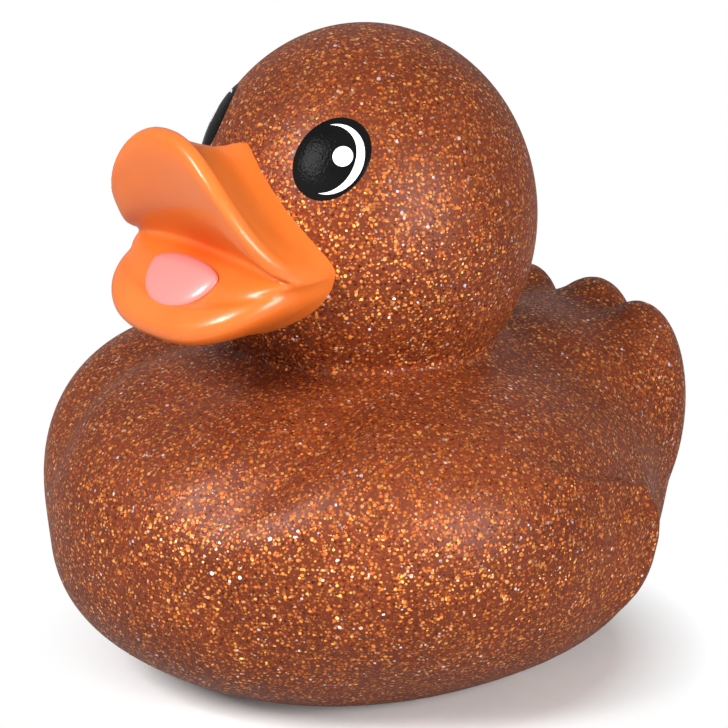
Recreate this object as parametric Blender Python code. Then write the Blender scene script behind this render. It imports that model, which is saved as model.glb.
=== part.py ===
"""A bath duck moulded in one piece from soft vinyl: hollow, with an open bill and a flat foot.

The duck faces -Y, its left side is +X and +Z is up. The origin is on the surface that it stands on,
midway between its foremost and rearmost points. Lengths are in metres and angles in degrees.
"""

import math

import bmesh
import bpy
from mathutils import Matrix, Vector

WALL = 0.0020
VENT_DIAMETER = 0.0030
VENT_BEHIND_CENTRE = 0.0095

# Body: a bun that stands on a flat foot. Heights are above the ground, y is from the head's axis.
BODY_HALF_WIDTH = 0.0320
BODY_CENTRE_Y = -0.0015
BODY_FRONT_REACH = 0.0405
BODY_REAR_REACH = 0.0405
GIRTH_HEIGHT = 0.0205
BODY_RISE = 0.0205
BODY_DROP = 0.0230
BODY_SQUARENESS = 2.2
SHOULDER_SQUARENESS = 2.6
BILGE_SQUARENESS = 2.6
FOOT_BEHIND_BODY = 0.0054

# Head: an egg, a little taller than wide, that sinks into the shoulders.
HEAD_RADIUS = 0.0214
HEAD_HALF_HEIGHT = 0.0238
HEAD_CENTRE_Y = -0.0005
HEAD_CENTRE_HEIGHT = 0.0573

# Wing: a soft swelling of the flank, an oval as seen from the side, and a pad that stands out of its
# rear half, so that the wing ends in a fold at its top and rear but runs out softly into the breast.
WING_CENTRE_Y = -0.0075
WING_CENTRE_HEIGHT = 0.0260
WING_HALF_LENGTH = 0.0355
WING_HALF_DEPTH = 0.0230
WING_PITCH = 14.0
WING_SWELL = 0.0086
WING_EASE = 1.5
PAD_OUT = 0.0200
PAD_CENTRE_Y = 0.0045
PAD_CENTRE_HEIGHT = 0.0225
PAD_HALF_THICKNESS = 0.0177
PAD_FRONT_REACH = 0.0300
PAD_REAR_REACH = 0.0207
PAD_RISE = 0.0120
PAD_DROP = 0.0150
PAD_SQUARENESS = 2.4

# Tail: a broad upturned pad whose rim swells into three feather ends.
TAIL_HALF_WIDTH = 0.0205
TAIL_FLARE_RATIO = 0.12
TAIL_FRONT_REACH = 0.0170
TAIL_REAR_REACH = 0.0160
TAIL_RISE = 0.0200
TAIL_DROP = 0.0210
TAIL_CENTRE_Y = 0.0235
TAIL_CENTRE_HEIGHT = 0.0213
TAIL_LEAN = 12.0
TAIL_SQUARENESS = 2.8
FEATHER_SPREAD = 0.0125
FEATHER_HALF_WIDTH = 0.0078
FEATHER_THICKNESS = 0.0076
FEATHER_HALF_LENGTH = 0.0150
FEATHER_CENTRE_Y = 0.0322
FEATHER_CENTRE_HEIGHT = 0.0272
MIDDLE_FEATHER_BACK = 0.0025
MIDDLE_FEATHER_HALF_WIDTH = 0.0082
FEATHER_LEAN = 16.0
FEATHER_SPLAY = -8.0

# Eye: a low oval pad on the head, placed and turned by angles.
EYE_HALF_HEIGHT = 0.0055
EYE_HALF_WIDTH = 0.0048
EYE_PROUD = 0.0005
EYE_BEARING = 38.8
EYE_ELEVATION = 31.0
EYE_TURN = 26.0

# Bill: a section that is swept half-way round an upright axis inside the head. All of its sizes are in
# head radii, measured from the head's centre. A station holds, in the order in which the section runs:
# reach and height at the middle of the face, half-width and height at the corner of the mouth,
# squareness as seen from above, and how long it keeps its middle height on the way to the corner.
BILL_AXIS_RATIO = 0.60
BILL_WAIST_RATIO = 0.20
BILL_STATIONS = (
    (0.74, 0.52, 0.68, -0.06, 2.4, 1.2),
    (1.08, 0.59, 0.72, -0.03, 3.0, 1.3),
    (1.30, 0.67, 0.74, -0.01, 3.6, 1.9),
    (1.40, 0.745, 0.76, -0.01, 4.0, 2.2),
    (1.47, 0.69, 0.76, -0.02, 4.0, 2.3),
    (1.44, 0.53, 0.75, -0.03, 4.0, 2.4),
    (1.33, 0.28, 0.74, -0.04, 5.0, 2.3),
    (1.14, 0.00, 0.73, -0.05, 8.0, 2.5),
    (1.20, -0.09, 0.72, -0.06, 7.0, 1.8),
    (1.31, -0.20, 0.71, -0.07, 4.6, 1.6),
    (1.40, -0.255, 0.70, -0.08, 3.6, 1.6),
    (1.50, -0.275, 0.71, -0.10, 3.4, 1.9),
    (1.57, -0.36, 0.71, -0.14, 3.3, 3.0),
    (1.50, -0.47, 0.71, -0.20, 3.3, 3.0),
    (1.15, -0.50, 0.68, -0.29, 3.0, 2.2),
    (0.74, -0.50, 0.50, -0.38, 2.6, 1.6),
    (0.64, 0.00, 0.30, -0.10, 2.6, 2.0),
)

BODY_SEGMENTS = 64
HEAD_SEGMENTS = 44
PAD_SEGMENTS = 30
BILL_SEGMENTS = 28
STATION_STEPS = 3


HEAD_CENTRE = Vector((0, HEAD_CENTRE_Y, HEAD_CENTRE_HEIGHT))


def close_skin(name, rings, home):
    """A closed surface through level rings of points, each end closed by one face or by a single point."""
    mesh = bmesh.new()
    loops = [[mesh.verts.new(point) for point in ring] for ring in rings]
    for lower, upper in zip(loops, loops[1:]):
        count = max(len(lower), len(upper))
        for i in range(count):
            j = (i + 1) % count
            corners = [lower[i % len(lower)], lower[j % len(lower)], upper[j % len(upper)], upper[i % len(upper)]]
            mesh.faces.new(dict.fromkeys(corners))
    for loop in (loops[0], loops[-1]):
        if len(loop) > 1:
            mesh.faces.new(loop)
    bmesh.ops.recalc_face_normals(mesh, faces=mesh.faces)
    data = bpy.data.meshes.new(name)
    mesh.to_mesh(data)
    mesh.free()
    obj = bpy.data.objects.new(name, data)
    home.objects.link(obj)
    return obj


def rounded(angle, squareness):
    """Cosine and sine of an angle, pushed out from a circle to a superellipse."""
    along, across = math.cos(angle), math.sin(angle)
    fullness = (abs(along) ** squareness + abs(across) ** squareness) ** (-1 / squareness)
    return along * fullness, across * fullness


def pillow(
    name, home, centre, half_width, front, rear, rise, drop, segments,
    floor=None, squareness=2.0, high_squareness=None, low_squareness=None, flare=0.0, foot_back=0.0,
    turn=Matrix(), swell=None,
):
    """A rounded form with its own reach to the front, rear, top and bottom.

    A floor cuts it off flat, a flare widens its top, foot_back draws its underside to the rear, and a swell
    moves its points out along their normals.
    """
    high_squareness = high_squareness or squareness
    low_squareness = low_squareness or squareness
    lowest = -math.pi / 2
    if floor is not None:
        cut = (centre[2] - floor) / drop
        lowest = -math.atan2(cut, (1 - cut ** low_squareness) ** (1 / low_squareness))
    levels = segments // 2
    rings = []
    for i in range(levels + 1):
        lift = lowest + (math.pi / 2 - lowest) * i / levels
        out, height = rounded(lift, high_squareness if lift > 0 else low_squareness)
        height *= rise if lift > 0 else drop
        if out < 1e-6:
            rings.append([Vector((0, 0, height))])
            continue
        ring = []
        for j in range(segments):
            along, across = rounded(math.tau * j / segments, squareness)
            reach = rear if along > 0 else front
            width = half_width * (1 + flare * height / rise)
            back = foot_back * min(0.0, height / drop) ** 2
            point = Vector((width * out * across, reach * out * along + back, height))
            if swell:
                outward = Vector((across / width, along / reach, math.sin(lift) / (rise if lift > 0 else drop)))
                point += outward.normalized() * swell(point + Vector(centre))
            ring.append(point)
        rings.append(ring)
    place = Matrix.Translation(centre) @ turn.to_4x4()
    return close_skin(name, [[place @ point for point in ring] for ring in rings], home)


def turned(pitch=0.0, roll=0.0):
    """Pitch lifts the front and leans the top to the rear. Roll leans the top to the left."""
    return Matrix.Rotation(math.radians(roll), 3, "Y") @ Matrix.Rotation(math.radians(-pitch), 3, "X")


def wing_swell(place):
    """How far a wing stands out of the trunk at a place. It is an oval in the side view and fades inward."""
    pitch = math.radians(WING_PITCH)
    rearward, upward = place.y - WING_CENTRE_Y, place.z - WING_CENTRE_HEIGHT
    along = (rearward * math.cos(pitch) - upward * math.sin(pitch)) / WING_HALF_LENGTH
    up = (upward * math.cos(pitch) + rearward * math.sin(pitch)) / WING_HALF_DEPTH
    outward = min(1.0, abs(place.x) / BODY_HALF_WIDTH)
    return WING_SWELL * outward * max(0.0, 1 - along ** 2 - up ** 2) ** WING_EASE


def trunk(home, inset=0.0, segments=BODY_SEGMENTS):
    return pillow(
        "trunk", home, (0, BODY_CENTRE_Y, GIRTH_HEIGHT), BODY_HALF_WIDTH - inset, BODY_FRONT_REACH - inset,
        BODY_REAR_REACH - inset, BODY_RISE - inset, BODY_DROP - inset, segments, floor=inset,
        squareness=BODY_SQUARENESS, high_squareness=SHOULDER_SQUARENESS, low_squareness=BILGE_SQUARENESS,
        foot_back=FOOT_BEHIND_BODY, swell=wing_swell,
    )


def head(home, inset=0.0, segments=HEAD_SEGMENTS):
    radius = HEAD_RADIUS - inset
    half_height = HEAD_HALF_HEIGHT - inset
    return pillow("head", home, HEAD_CENTRE, radius, radius, radius, half_height, half_height, segments)


def wing_pad(home, side, inset=0.0, segments=PAD_SEGMENTS):
    return pillow(
        "wing pad", home, (side * PAD_OUT, PAD_CENTRE_Y, PAD_CENTRE_HEIGHT), PAD_HALF_THICKNESS - inset,
        PAD_FRONT_REACH - inset, PAD_REAR_REACH - inset, PAD_RISE - inset, PAD_DROP - inset, segments,
        squareness=PAD_SQUARENESS, turn=turned(pitch=WING_PITCH),
    )


def tail_pad(home, inset=0.0, segments=PAD_SEGMENTS):
    return pillow(
        "tail pad", home, (0, TAIL_CENTRE_Y, TAIL_CENTRE_HEIGHT), TAIL_HALF_WIDTH - inset,
        TAIL_FRONT_REACH - inset, TAIL_REAR_REACH - inset, TAIL_RISE - inset, TAIL_DROP - inset, segments,
        squareness=TAIL_SQUARENESS, flare=TAIL_FLARE_RATIO, turn=turned(pitch=TAIL_LEAN),
    )


def feather(home, place, inset=0.0, segments=PAD_SEGMENTS):
    """One feather end. The place is -1, 0 or 1 from the duck's right to its left."""
    centre = Vector((place * FEATHER_SPREAD, FEATHER_CENTRE_Y, FEATHER_CENTRE_HEIGHT))
    half_width = FEATHER_HALF_WIDTH
    if place == 0:
        centre.y += MIDDLE_FEATHER_BACK
        half_width = MIDDLE_FEATHER_HALF_WIDTH
    thickness = FEATHER_THICKNESS - inset
    length = FEATHER_HALF_LENGTH - inset
    return pillow(
        "feather", home, centre, half_width - inset, thickness, thickness, length, length, segments,
        turn=turned(pitch=FEATHER_LEAN, roll=place * FEATHER_SPLAY),
    )


def eye_pad(home, side, segments=PAD_SEGMENTS):
    bearing = math.radians(EYE_BEARING)
    elevation = math.radians(EYE_ELEVATION)
    sight = Vector((
        side * math.sin(bearing) * math.cos(elevation),
        -math.cos(bearing) * math.cos(elevation),
        math.sin(elevation),
    ))
    on_head = Vector((sight.x * HEAD_RADIUS, sight.y * HEAD_RADIUS, sight.z * HEAD_HALF_HEIGHT))
    outward = Vector((sight.x / HEAD_RADIUS, sight.y / HEAD_RADIUS, sight.z / HEAD_HALF_HEIGHT)).normalized()
    sideways = Vector((0, 0, 1)).cross(outward).normalized()
    upright = outward.cross(sideways)
    frame = Matrix((sideways, outward, upright)).transposed()
    frame = frame @ Matrix.Rotation(math.radians(side * EYE_TURN), 3, "Y")
    sagitta = EYE_HALF_HEIGHT ** 2 / (2 * HEAD_HALF_HEIGHT)
    thickness = 2 * (sagitta + EYE_PROUD)
    centre = HEAD_CENTRE + on_head - outward * (thickness - EYE_PROUD)
    widen = 1 / math.sqrt(1 - ((thickness - sagitta - EYE_PROUD) / thickness) ** 2)
    return pillow(
        "eye pad", home, centre, EYE_HALF_WIDTH * widen, thickness, thickness, EYE_HALF_HEIGHT * widen,
        EYE_HALF_HEIGHT * widen, segments, turn=frame,
    )


def smooth_stations(stations, steps):
    """A closed curve through the stations, with extra ones in between (Catmull-Rom)."""
    count = len(stations)
    finer = []
    for i in range(count):
        before, start, end, after = (stations[(i + k) % count] for k in (-1, 0, 1, 2))
        for step in range(steps):
            t = step / steps
            finer.append(tuple(
                q + 0.5 * t * (r - p + t * (2 * p - 5 * q + 4 * r - s + t * (3 * (q - r) + s - p)))
                for p, q, r, s in zip(before, start, end, after)
            ))
    return finer


def bill_point(station, turn):
    reach, height, half_width, corner_height, squareness, hold = station
    along, across = rounded(turn, squareness)
    waist = 1 - BILL_WAIST_RATIO * (1 - along) ** 2
    return HEAD_CENTRE + HEAD_RADIUS * Vector((
        half_width * across * waist,
        -BILL_AXIS_RATIO - (reach - BILL_AXIS_RATIO) * along,
        height + (corner_height - height) * abs(across) ** hold,
    ))


def bill(home, segments=BILL_SEGMENTS, steps=STATION_STEPS):
    turns = [math.pi * (i / segments - 0.5) for i in range(segments + 1)]
    stations = smooth_stations(BILL_STATIONS, steps)
    return close_skin("bill", [[bill_point(station, turn) for station in stations] for turn in turns], home)


def vent(home, segments=24):
    """The air hole through the foot, long enough to reach into the hollow."""
    rings = []
    for height in (-WALL, 3 * WALL):
        rings.append([
            Vector((
                VENT_DIAMETER / 2 * math.cos(math.tau * i / segments),
                VENT_BEHIND_CENTRE + VENT_DIAMETER / 2 * math.sin(math.tau * i / segments),
                height,
            ))
            for i in range(segments)
        ])
    return close_skin("vent", rings, home)


def combine(obj, home, operation):
    modifier = obj.modifiers.new(operation.lower(), "BOOLEAN")
    modifier.operation = operation
    modifier.solver = "EXACT"
    modifier.operand_type = "COLLECTION"
    modifier.collection = home


def vinyl():
    material = bpy.data.materials.new("glitter vinyl")
    material.use_nodes = True
    surface = material.node_tree.nodes["Principled BSDF"]
    surface.inputs["Base Color"].default_value = (0.23, 0.085, 0.040, 1)
    surface.inputs["Metallic"].default_value = 0.25
    surface.inputs["Roughness"].default_value = 0.32
    return material


def new_collection(name):
    home = bpy.data.collections.new(name)
    bpy.context.scene.collection.children.link(home)
    return home


def main():
    for old in list(bpy.data.objects):
        bpy.data.objects.remove(old)
    outside = new_collection("outer forms")
    inside = new_collection("hollow")
    duck = trunk(bpy.context.scene.collection)
    duck.name = "duck"
    duck.data.materials.append(vinyl())
    head(outside)
    tail_pad(outside)
    for place in (-1, 0, 1):
        feather(outside, place)
    bill(outside)
    for side in (-1, 1):
        wing_pad(outside, side)
        eye_pad(outside, side)
    trunk(inside, WALL, BODY_SEGMENTS // 2)
    for side in (-1, 1):
        wing_pad(inside, side, WALL, PAD_SEGMENTS // 2)
    head(inside, WALL, HEAD_SEGMENTS // 2)
    tail_pad(inside, WALL, PAD_SEGMENTS // 2)
    vent(inside)
    combine(duck, outside, "UNION")
    combine(duck, inside, "DIFFERENCE")
    forms = list(outside.objects) + list(inside.objects)
    reach = [vertex.co.y for form in [duck, *forms] for vertex in form.data.vertices]
    for form in [duck, *forms]:
        form.data.transform(Matrix.Translation((0, -(min(reach) + max(reach)) / 2, 0)))
    for form in forms:
        form.hide_render = True
        form.display_type = "WIRE"


if __name__ == "__main__":
    main()
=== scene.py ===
# %% [markdown]
# # A bath duck full of copper glitter
# The real duck is one hollow moulding of soft, see-through brown vinyl with copper flakes stirred into it.
# Its bill, tongue and eyes are sprayed on afterwards through masks.
# The CAD part gives the sizes and stands in for collision. This lesson builds what the eye sees on top of it.

import math

import bmesh
import bpy
import numpy as np
from mathutils import Matrix, Vector


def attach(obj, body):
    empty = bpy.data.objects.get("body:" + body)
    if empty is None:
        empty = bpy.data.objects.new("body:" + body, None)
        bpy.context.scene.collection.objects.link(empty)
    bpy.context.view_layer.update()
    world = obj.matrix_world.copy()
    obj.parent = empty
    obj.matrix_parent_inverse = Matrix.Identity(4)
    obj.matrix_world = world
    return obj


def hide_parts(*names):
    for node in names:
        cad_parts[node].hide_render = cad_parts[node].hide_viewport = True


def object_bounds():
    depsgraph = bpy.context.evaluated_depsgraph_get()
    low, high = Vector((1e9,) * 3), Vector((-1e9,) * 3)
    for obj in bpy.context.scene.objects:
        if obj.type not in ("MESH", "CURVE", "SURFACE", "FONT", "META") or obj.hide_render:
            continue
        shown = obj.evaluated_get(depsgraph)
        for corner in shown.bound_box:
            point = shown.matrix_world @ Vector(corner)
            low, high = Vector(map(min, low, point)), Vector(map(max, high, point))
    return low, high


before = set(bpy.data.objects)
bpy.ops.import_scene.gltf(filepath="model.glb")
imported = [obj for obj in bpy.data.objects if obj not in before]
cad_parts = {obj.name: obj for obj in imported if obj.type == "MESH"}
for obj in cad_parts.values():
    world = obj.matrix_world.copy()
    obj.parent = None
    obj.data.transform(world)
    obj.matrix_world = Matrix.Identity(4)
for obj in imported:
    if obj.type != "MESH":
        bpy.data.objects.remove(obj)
part_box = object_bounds()
print("the part measures", [round(1000 * (high - low), 1) for low, high in zip(*part_box)], "mm")

# %% [markdown]
# ## Soft forms
# A vinyl duck is blown or slush-moulded, so everything on it is a pillow: rounded, with no straight line
# anywhere. One function makes all of them. A superellipse gives each pillow its fullness, and each pillow
# has its own reach to the front, rear, top and bottom. All sizes are in metres and all angles in degrees.
# Most are those of the CAD part; the flanks of the tail and the lower jaw are a little fuller here, as the
# photograph shows them.

# %% A pillow and its helpers
POINTED = 1e-6


def close_skin(name, rings):
    """A closed surface through level rings of points, each end closed by one face or by a single point."""
    mesh = bmesh.new()
    loops = [[mesh.verts.new(point) for point in ring] for ring in rings]
    for lower, upper in zip(loops, loops[1:]):
        count = max(len(lower), len(upper))
        for i in range(count):
            j = (i + 1) % count
            corners = [
                lower[i % len(lower)], lower[j % len(lower)],
                upper[j % len(upper)], upper[i % len(upper)],
            ]
            mesh.faces.new(dict.fromkeys(corners))
    for loop in (loops[0], loops[-1]):
        if len(loop) > 1:
            mesh.faces.new(loop)
    bmesh.ops.recalc_face_normals(mesh, faces=mesh.faces)
    data = bpy.data.meshes.new(name)
    mesh.to_mesh(data)
    mesh.free()
    return data


def rounded(angle, squareness):
    """Cosine and sine of an angle, pushed out from a circle to a superellipse."""
    along, across = math.cos(angle), math.sin(angle)
    fullness = (abs(along) ** squareness + abs(across) ** squareness) ** (-1 / squareness)
    return along * fullness, across * fullness


def pillow(
    name, centre, half_width, front, rear, rise, drop, segments,
    floor=None, squareness=2.0, high_squareness=None, low_squareness=None, flare=0.0, foot_back=0.0,
    turn=Matrix(), swell=None,
):
    """A rounded form with its own reach to each side. It can be cut off at a floor, leaned and swollen."""
    high_squareness = high_squareness or squareness
    low_squareness = low_squareness or squareness
    lowest = -math.pi / 2
    if floor is not None:
        cut = (centre[2] - floor) / drop
        lowest = -math.atan2(cut, (1 - cut ** low_squareness) ** (1 / low_squareness))
    levels = segments // 2
    rings = []
    for i in range(levels + 1):
        lift = lowest + (math.pi / 2 - lowest) * i / levels
        out, height = rounded(lift, high_squareness if lift > 0 else low_squareness)
        height *= rise if lift > 0 else drop
        if out < POINTED:
            rings.append([Vector((0, 0, height))])
            continue
        ring = []
        for j in range(segments):
            along, across = rounded(math.tau * j / segments, squareness)
            reach = rear if along > 0 else front
            width = half_width * (1 + flare * height / rise)
            back = foot_back * min(0.0, height / drop) ** 2
            point = Vector((width * out * across, reach * out * along + back, height))
            if swell:
                steepness = math.sin(lift) / (rise if lift > 0 else drop)
                outward = Vector((across / width, along / reach, steepness))
                point += outward.normalized() * swell(point + Vector(centre))
            ring.append(point)
        rings.append(ring)
    place = Matrix.Translation(centre) @ turn.to_4x4()
    return close_skin(name, [[place @ point for point in ring] for ring in rings])


def turned(pitch=0.0, roll=0.0):
    """Pitch lifts the front and leans the top to the rear. Roll leans the top to the left."""
    return Matrix.Rotation(math.radians(roll), 3, "Y") @ Matrix.Rotation(math.radians(-pitch), 3, "X")


# %% [markdown]
# ## Trunk, wings, head and tail
# The trunk is a bun cut off flat at the foot. Each wing is a soft swelling of the flank, an oval from the
# side, that ends in a pad with a fold above and behind it. The tail is an upturned pad with three feather
# ends. The facets of the CAD part are gone here: the same kind of formula is sampled much more finely.

# %% Sizes of the moulding
WALL = 0.0020
VENT_DIAMETER = 0.0030
VENT_BEHIND_CENTRE = 0.0095

BODY_HALF_WIDTH = 0.0320
BODY_HALF_LENGTH = 0.0405
BODY_RISE = 0.0205
BODY_DROP = 0.0230
BODY_CENTRE = (0, -0.0015, 0.0205)

WING_CENTRE_Y = -0.0075
WING_CENTRE_HEIGHT = 0.0260
WING_HALF_LENGTH = 0.0355
WING_HALF_DEPTH = 0.0230
WING_PITCH = 14.0
WING_SWELL = 0.0086
WING_EASE = 1.5

HEAD_RADIUS = 0.0214
HEAD_HALF_HEIGHT = 0.0238
HEAD_CENTRE = Vector((0, -0.0005, 0.0573))

TAIL_CENTRE = (0, 0.0235, 0.0213)
TAIL_PITCH = 12.0
FEATHER_SPACING = 0.0125
FEATHER_Y = 0.0322
FEATHER_CENTRE_HEIGHT = 0.0272
FEATHER_HALF_LENGTH = 0.0076
FEATHER_HALF_HEIGHT = 0.0150
FEATHER_PITCH = 16.0
FEATHER_SPREAD = 8.0
MIDDLE_FEATHER_BACK = 0.0025

PAD_OUT = 0.0200
PAD_CENTRE_Y = 0.0045
PAD_CENTRE_HEIGHT = 0.0225


# %% Forms of the moulding
def wing_swell(place):
    """How far a wing stands out of the trunk at a place. It is an oval in the side view and fades inward."""
    pitch = math.radians(WING_PITCH)
    rearward, upward = place.y - WING_CENTRE_Y, place.z - WING_CENTRE_HEIGHT
    along = (rearward * math.cos(pitch) - upward * math.sin(pitch)) / WING_HALF_LENGTH
    up = (upward * math.cos(pitch) + rearward * math.sin(pitch)) / WING_HALF_DEPTH
    outward = min(1.0, abs(place.x) / BODY_HALF_WIDTH)
    return WING_SWELL * outward * max(0.0, 1 - along ** 2 - up ** 2) ** WING_EASE


def moulding_forms():
    """All the forms that the brown vinyl is the union of."""
    forms = [
        pillow(
            "trunk", BODY_CENTRE, half_width=BODY_HALF_WIDTH, front=BODY_HALF_LENGTH, rear=BODY_HALF_LENGTH,
            rise=BODY_RISE, drop=BODY_DROP, segments=240, floor=0.0,
            squareness=2.2, high_squareness=2.6, low_squareness=2.6, foot_back=0.0054, swell=wing_swell,
        ),
        pillow(
            "head", HEAD_CENTRE, half_width=HEAD_RADIUS, front=HEAD_RADIUS, rear=HEAD_RADIUS,
            rise=HEAD_HALF_HEIGHT, drop=HEAD_HALF_HEIGHT, segments=180,
        ),
        pillow(
            "tail", TAIL_CENTRE, half_width=0.0218, front=0.0170, rear=0.0160, rise=0.0200, drop=0.0210,
            segments=120, squareness=2.8, flare=0.02, turn=turned(pitch=TAIL_PITCH),
        ),
    ]
    for place in (-1, 0, 1):
        back, half_width = (MIDDLE_FEATHER_BACK, 0.0082) if place == 0 else (0.0, 0.0078)
        forms.append(pillow(
            "feather", (place * FEATHER_SPACING, FEATHER_Y + back, FEATHER_CENTRE_HEIGHT),
            half_width=half_width, front=FEATHER_HALF_LENGTH, rear=FEATHER_HALF_LENGTH,
            rise=FEATHER_HALF_HEIGHT, drop=FEATHER_HALF_HEIGHT, segments=90,
            turn=turned(pitch=FEATHER_PITCH, roll=place * -FEATHER_SPREAD),
        ))
    for side in (-1, 1):
        forms.append(pillow(
            "wing pad", (side * PAD_OUT, PAD_CENTRE_Y, PAD_CENTRE_HEIGHT),
            half_width=0.0177, front=0.0300, rear=0.0207, rise=0.0120, drop=0.0150, segments=120,
            squareness=2.4, turn=turned(pitch=WING_PITCH),
        ))
    return forms


moulding = moulding_forms()
print(len(moulding), "forms,", sum(len(form.polygons) for form in moulding), "faces")

# %% [markdown]
# ## The open bill
# The bill is the hardest form on the duck. Its section, seen from the side, runs over the upper half, round
# its lip, along the palate into the throat, out over the floor of the mouth, round the lower lip and back
# under the jaw. That section is swept half-way round an upright axis inside the head. Away from the middle
# every point of it sinks or rises towards the corner of the mouth, where both halves run into each other.

# %% The bill's section and its sweep
# How far in front of the head's centre the axis stands, in head radii, and the share of its width that the
# bill loses towards the corners of the mouth.
BILL_AXIS = 0.60
BILL_WAIST = 0.20
# Reach and height at the middle, half-width and height at the corner, squareness, and how long a line holds
# its middle height. All in head radii from the head's centre.
BILL_STATIONS = (
    (0.74, 0.52, 0.68, -0.06, 2.4, 1.2),
    (1.08, 0.59, 0.72, -0.03, 3.0, 1.3),
    (1.30, 0.67, 0.74, -0.02, 3.6, 1.9),
    (1.40, 0.745, 0.76, -0.02, 4.0, 2.2),
    (1.47, 0.69, 0.76, -0.03, 4.0, 2.3),
    (1.44, 0.53, 0.76, -0.04, 4.0, 2.4),
    (1.33, 0.28, 0.76, -0.05, 5.0, 2.3),
    (1.14, 0.03, 0.76, -0.06, 8.0, 2.5),
    (1.20, -0.03, 0.76, -0.07, 6.0, 1.8),
    (1.31, -0.130, 0.76, -0.08, 4.0, 1.6),
    (1.40, -0.222, 0.76, -0.09, 3.1, 1.6),
    (1.490, -0.258, 0.76, -0.10, 2.9, 1.9),
    (1.57, -0.345, 0.76, -0.12, 2.8, 2.8),
    (1.50, -0.450, 0.75, -0.15, 2.8, 2.8),
    (1.15, -0.49, 0.70, -0.19, 2.6, 2.2),
    (0.74, -0.50, 0.56, -0.25, 2.4, 1.6),
    (0.64, 0.00, 0.30, -0.10, 2.6, 2.0),
)


def smooth_stations(stations, steps):
    """A closed curve through the stations, with extra ones in between (Catmull-Rom)."""
    count = len(stations)
    finer = []
    for i in range(count):
        before, start, end, after = (stations[(i + k) % count] for k in (-1, 0, 1, 2))
        for step in range(steps):
            t = step / steps
            finer.append(tuple(
                q + 0.5 * t * (r - p + t * (2 * p - 5 * q + 4 * r - s + t * (3 * (q - r) + s - p)))
                for p, q, r, s in zip(before, start, end, after)
            ))
    return finer


def bill_point(station, turn):
    """Where a station of the section lies after a turn away from the middle."""
    reach, height, half_width, corner_height, squareness, hold = station
    along, across = rounded(turn, squareness)
    waist = 1 - BILL_WAIST * (1 - along) ** 2
    return HEAD_CENTRE + HEAD_RADIUS * Vector((
        half_width * across * waist,
        -BILL_AXIS - (reach - BILL_AXIS) * along,
        height + (corner_height - height) * abs(across) ** hold,
    ))


def bill_form(segments, steps):
    """The whole bill: the section swept from one corner of the mouth to the other."""
    turns = [math.pi * (i / segments - 0.5) for i in range(segments + 1)]
    stations = smooth_stations(BILL_STATIONS, steps)
    return close_skin("bill", [[bill_point(station, turn) for station in stations] for turn in turns])


bill_mesh = bill_form(segments=120, steps=8)
print("bill:", len(bill_mesh.polygons), "faces")


# %% [markdown]
# ## From forms to one moulded skin
# In the mould the forms aren't separate: where two of them meet, the steel has a small radius, so the skin
# turns the corner softly. A fine voxel remesh makes one skin of all the forms, and a few rounds of smoothing
# give the creases that radius. The length is then centred as the CAD part's is, and the width is kept inside
# that of the part.

# %% Weld and soften
every_form = [*moulding, bill_mesh]
reach = [vertex.co.y for form in every_form for vertex in form.vertices]
CENTRING = Matrix.Translation((0, -(min(reach) + max(reach)) / 2, 0))


def moulded(name, forms, voxel, rounds):
    """One smooth skin round all the forms."""
    mesh = bmesh.new()
    for form in forms:
        mesh.from_mesh(form)
    joined = bpy.data.meshes.new(name)
    mesh.to_mesh(joined)
    mesh.free()
    obj = bpy.data.objects.new(name, joined)
    bpy.context.scene.collection.objects.link(obj)
    remesh = obj.modifiers.new("weld", "REMESH")
    remesh.mode = "VOXEL"
    remesh.voxel_size = voxel
    soften = obj.modifiers.new("soften", "SMOOTH")
    soften.factor = 0.5
    soften.iterations = rounds
    skin = bpy.data.meshes.new_from_object(obj.evaluated_get(bpy.context.evaluated_depsgraph_get()))
    obj.modifiers.clear()
    obj.data = skin
    skin.name = name
    skin.transform(CENTRING)
    widest = max(vertex.co.x for vertex in skin.vertices)
    skin.transform(Matrix.Diagonal((min(1.0, part_box[1].x / widest), 1, 1, 1)))
    for vertex in skin.vertices:
        vertex.co.z = max(0.0, vertex.co.z)
    skin.shade_smooth()
    print(name, "has", sum(len(face.vertices) - 2 for face in skin.polygons), "triangles")
    return obj


skin = moulded("glitter_skin", moulding, voxel=0.00056, rounds=6)
bill = moulded("bill", [bill_mesh], voxel=0.00032, rounds=4)

# %% [markdown]
# The finer relief is worked into the skin itself, as a mould maker files it into the steel. Each helper
# treats all points of the skin at once, which keeps the many rounds quick.

# %% Helpers for the points of the skin
def step(value, start, end):
    """A smooth step from 0 to 1 between start and end."""
    t = np.clip((value - start) / (end - start), 0.0, 1.0)
    return t * t * (3 - 2 * t)


def skin_places(mesh):
    """The points of a mesh, one row of x, y and z for each."""
    places = np.empty(len(mesh.vertices) * 3)
    mesh.vertices.foreach_get("co", places)
    return places.reshape(-1, 3)


def skin_normals(mesh):
    """The outward direction at each point."""
    normals = np.empty(len(mesh.vertices) * 3)
    mesh.vertices.foreach_get("normal", normals)
    return normals.reshape(-1, 3)


def move_skin(mesh, places):
    """Puts the points at new places."""
    mesh.vertices.foreach_set("co", places.ravel())
    mesh.update()


def press_in(what, mesh, depth):
    """Moves each point straight into the skin by its own depth. A negative depth raises it."""
    move_skin(mesh, skin_places(mesh) - depth[:, None] * skin_normals(mesh))
    print(what, "pressed into", int(np.sum(depth > 0.0001)), "points")


# %% [markdown]
# The hollows of the mould have generous radii: the tail grows out of the back without a crease, and its three
# feather ends are only told apart at the top. So the hollows of the skin are filled, a little in each round,
# and the hills are left alone. The neck stays nearly as sharp as it is.

# %% Fill the hollows
FILL_ROUNDS = 420
FILL_FACTOR = 0.5
ROUNDS_TO_A_DIRECTION = 20
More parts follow.
